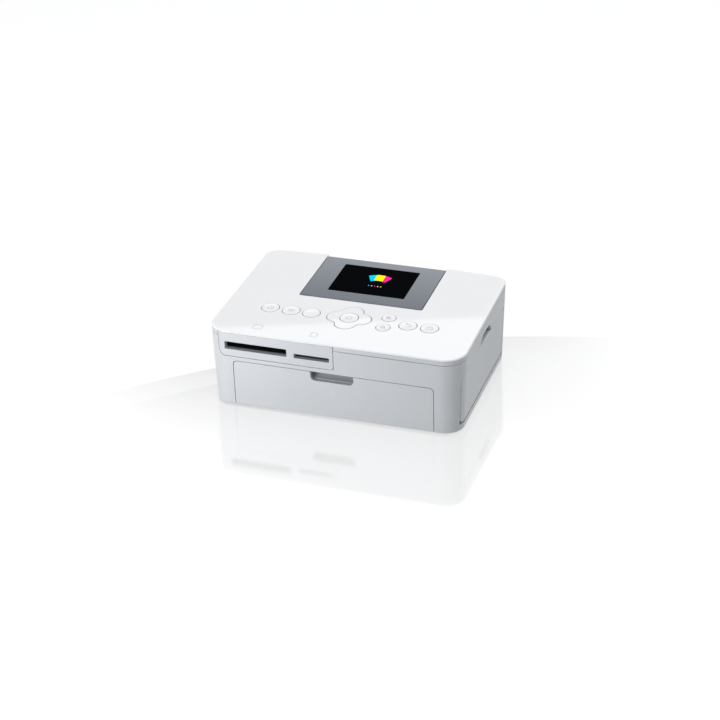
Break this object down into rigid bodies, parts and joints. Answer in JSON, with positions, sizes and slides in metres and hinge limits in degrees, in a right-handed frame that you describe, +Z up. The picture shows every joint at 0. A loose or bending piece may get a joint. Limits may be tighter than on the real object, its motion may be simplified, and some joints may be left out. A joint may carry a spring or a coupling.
{
  "type": "compact photo printer",
  "caption": "Compact dye-sublimation photo printer: tilting display and keys on a sloping white top, card slots and paper door in front, ink-cassette door on the right.",
  "frame": {"origin": "on the table, under the middle of the casing's plan", "axes": "+X to the printer's right side, +Y to its rear, +Z up"},
  "size_m": [0.178, 0.1269, 0.0604],
  "materials": {
    "white_gloss": "glossy white moulding",
    "silver_satin": "satin silver moulding",
    "base_grey": "fine-textured light grey moulding",
    "display_grey": "metallic grey lacquer",
    "display_black": "black glossy window",
    "dark_grey": "textured dark grey moulding",
    "black_plastic": "black moulding",
    "frame_grey": "grey engineering plastic",
    "steel": "plated sheet steel",
    "aluminium": "extruded",
    "rubber_dark": "ground rubber",
    "silicone": "translucent silicone",
    "circuit_board": "green solder mask",
    "gear_plastic": "natural acetal",
    "ceramic_head": "glazed ceramic",
    "cassette_grey": "light grey moulding",
    "ribbon_dark": "wound dye film",
    "ribbon_amber": "dye film"
  },
  "bodies": {
    "casing": {"top_cover": "white_gloss", "main_housing": "silver_satin", "base_plate": "base_grey", "card_slot_plate": "silver_satin", "terminal_cover": "silver_satin", "rubber_feet": "rubber_dark", "case_screws": "steel", "display_tray": "dark_grey", "key_mat": "silicone", "key_board": "circuit_board", "main_board": "circuit_board", "cf_card_socket": "black_plastic", "sd_card_socket": "black_plastic", "usb_port": "steel", "dc_inlet": "black_plastic", "feed_frame": "frame_grey", "chassis_left": "steel", "chassis_right": "steel", "feed_deck": "frame_grey", "head_springs": "steel", "head_motor": "steel", "motor_bracket": "steel", "feed_motor": "black_plastic", "ribbon_cassette": "cassette_grey", "ribbon_film": "ribbon_amber", "fan_frame": "black_plastic"},
    "paper_door": {"paper_door": "silver_satin"},
    "ink_door": {"ink_door": "silver_satin"},
    "display": {"lcd_frame": "display_grey", "lcd_window": "display_black", "lcd_module": "steel", "lcd_back_cover": "dark_grey", "lcd_hinge_pins": "steel"},
    "power_key": {"power_button": "white_gloss"},
    "menu_key": {"menu_button": "white_gloss"},
    "edit_key": {"edit_button": "white_gloss"},
    "rocker": {"nav_pad": "white_gloss"},
    "ok_key": {"ok_button": "white_gloss"},
    "zoom_in_key": {"zoom_in_button": "white_gloss"},
    "zoom_out_key": {"zoom_out_button": "white_gloss"},
    "back_key": {"back_button": "white_gloss"},
    "print_key": {"print_button": "white_gloss"},
    "pickup": {"pickup_axle": "steel", "pickup_tyres": "rubber_dark"},
    "capstan": {"capstan_roller": "steel", "capstan_gear": "gear_plastic"},
    "platen": {"platen_roller": "rubber_dark"},
    "pinch": {"pinch_roller": "steel"},
    "idler": {"idler_gear": "gear_plastic"},
    "feed_drive": {"feed_pinion": "gear_plastic"},
    "spindle": {"takeup_spindle": "gear_plastic"},
    "takeup": {"takeup_spool": "ribbon_amber"},
    "supply": {"supply_spool": "ribbon_dark"},
    "cam": {"camshaft": "steel", "cam_gear": "gear_plastic"},
    "head": {"head_arm": "steel", "heat_sink": "aluminium", "thermal_head": "ceramic_head"},
    "head_drive": {"head_pinion": "gear_plastic"},
    "fan": {"fan_rotor": "black_plastic"}
  },
  "joints": [
    {"name": "paper_door_hinge", "type": "hinge", "parent": "casing", "child": "paper_door", "pos_m": [0, -0.0598, 0.0044], "axis": [1, 0, 0], "range_deg": [0, 90]},
    {"name": "ink_door_hinge", "type": "hinge", "parent": "casing", "child": "ink_door", "pos_m": [0.0844, 0, 0.009], "axis": [0, 1, 0], "range_deg": [0, 90]},
    {"name": "display_tilt", "type": "hinge", "parent": "casing", "child": "display", "pos_m": [0, 0.0003, 0.05671], "axis": [1, 0, 0], "range_deg": [0, 45]},
    {"name": "power_press", "type": "slide", "parent": "casing", "child": "power_key", "axis": [0, 0.0315, -0.9995], "range_m": [0, 0.0005], "stiffness_N_per_m": 1500},
    {"name": "menu_press", "type": "slide", "parent": "casing", "child": "menu_key", "axis": [0, 0.0315, -0.9995], "range_m": [0, 0.0005], "stiffness_N_per_m": 1500},
    {"name": "edit_press", "type": "slide", "parent": "casing", "child": "edit_key", "axis": [0, 0.0315, -0.9995], "range_m": [0, 0.0005], "stiffness_N_per_m": 1500},
    {"name": "ok_press", "type": "slide", "parent": "casing", "child": "ok_key", "axis": [0, 0.0315, -0.9995], "range_m": [0, 0.0005], "stiffness_N_per_m": 1500},
    {"name": "zoom_in_press", "type": "slide", "parent": "casing", "child": "zoom_in_key", "axis": [0, 0.0315, -0.9995], "range_m": [0, 0.0005], "stiffness_N_per_m": 1500},
    {"name": "zoom_out_press", "type": "slide", "parent": "casing", "child": "zoom_out_key", "axis": [0, 0.0315, -0.9995], "range_m": [0, 0.0005], "stiffness_N_per_m": 1500},
    {"name": "back_press", "type": "slide", "parent": "casing", "child": "back_key", "axis": [0, 0.0315, -0.9995], "range_m": [0, 0.0005], "stiffness_N_per_m": 1500},
    {"name": "print_press", "type": "slide", "parent": "casing", "child": "print_key", "axis": [0, 0.0315, -0.9995], "range_m": [0, 0.0005], "stiffness_N_per_m": 1500},
    {"name": "rocker_tilt", "type": "hinge", "parent": "casing", "child": "rocker", "pos_m": [0, -0.0245, 0.05473], "axis": [1, 0, 0], "range_deg": [-2, 2], "stiffness_Nm_per_rad": 0.5},
    {"name": "pickup_turn", "type": "hinge", "parent": "casing", "child": "pickup", "pos_m": [0, -0.0238, 0.0254], "axis": [1, 0, 0], "continuous": true},
    {"name": "capstan_turn", "type": "hinge", "parent": "casing", "child": "capstan", "pos_m": [0, 0.0485, 0.0132], "axis": [1, 0, 0], "continuous": true},
    {"name": "platen_turn", "type": "hinge", "parent": "casing", "child": "platen", "pos_m": [0, 0.018, 0.0105], "axis": [1, 0, 0], "continuous": true},
    {"name": "pinch_turn", "type": "hinge", "parent": "casing", "child": "pinch", "pos_m": [0, 0.0485, 0.0189], "axis": [1, 0, 0], "continuous": true},
    {"name": "idler_turn", "type": "hinge", "parent": "casing", "child": "idler", "pos_m": [0, 0.0352, 0.01302], "axis": [1, 0, 0], "continuous": true},
    {"name": "feed_motor_turn", "type": "hinge", "parent": "casing", "child": "feed_drive", "pos_m": [0, 0.02629, 0.02193], "axis": [1, 0, 0], "continuous": true},
    {"name": "spindle_turn", "type": "hinge", "parent": "casing", "child": "spindle", "pos_m": [0, 0.036, 0.027], "axis": [1, 0, 0], "continuous": true},
    {"name": "takeup_turn", "type": "hinge", "parent": "casing", "child": "takeup", "pos_m": [0, 0.036, 0.027], "axis": [1, 0, 0], "continuous": true},
    {"name": "supply_turn", "type": "hinge", "parent": "casing", "child": "supply", "pos_m": [0, -0.0025, 0.027], "axis": [1, 0, 0], "continuous": true},
    {"name": "cam_turn", "type": "hinge", "parent": "casing", "child": "cam", "pos_m": [0, 0.032, 0.0421], "axis": [1, 0, 0], "range_deg": [0, 90]},
    {"name": "head_drop", "type": "hinge", "parent": "casing", "child": "head", "pos_m": [0, 0.052, 0.0413], "axis": [1, 0, 0], "range_deg": [0, 3.5]},
    {"name": "head_motor_turn", "type": "hinge", "parent": "casing", "child": "head_drive", "pos_m": [0, 0.0173, 0.0421], "axis": [1, 0, 0], "range_deg": [-226, 1]},
    {"name": "fan_turn", "type": "hinge", "parent": "casing", "child": "fan", "pos_m": [0.034, 0.0555, 0.0364], "axis": [0, 1, 0], "continuous": true}
  ],
  "couplings": [
    {"joint": "capstan_turn", "follows": "supply_turn", "ratio": 1.3382},
    {"joint": "platen_turn", "follows": "supply_turn", "ratio": 0.72265},
    {"joint": "pinch_turn", "follows": "supply_turn", "ratio": -1.3382},
    {"joint": "idler_turn", "follows": "supply_turn", "ratio": -2.2941},
    {"joint": "feed_motor_turn", "follows": "supply_turn", "ratio": 4.5882},
    {"joint": "spindle_turn", "follows": "supply_turn", "ratio": 1.2353},
    {"joint": "takeup_turn", "follows": "supply_turn", "ratio": 1.2353},
    {"joint": "cam_turn", "follows": "head_drop", "ratio": 25.714},
    {"joint": "head_motor_turn", "follows": "head_drop", "ratio": -64.286}
  ]
}
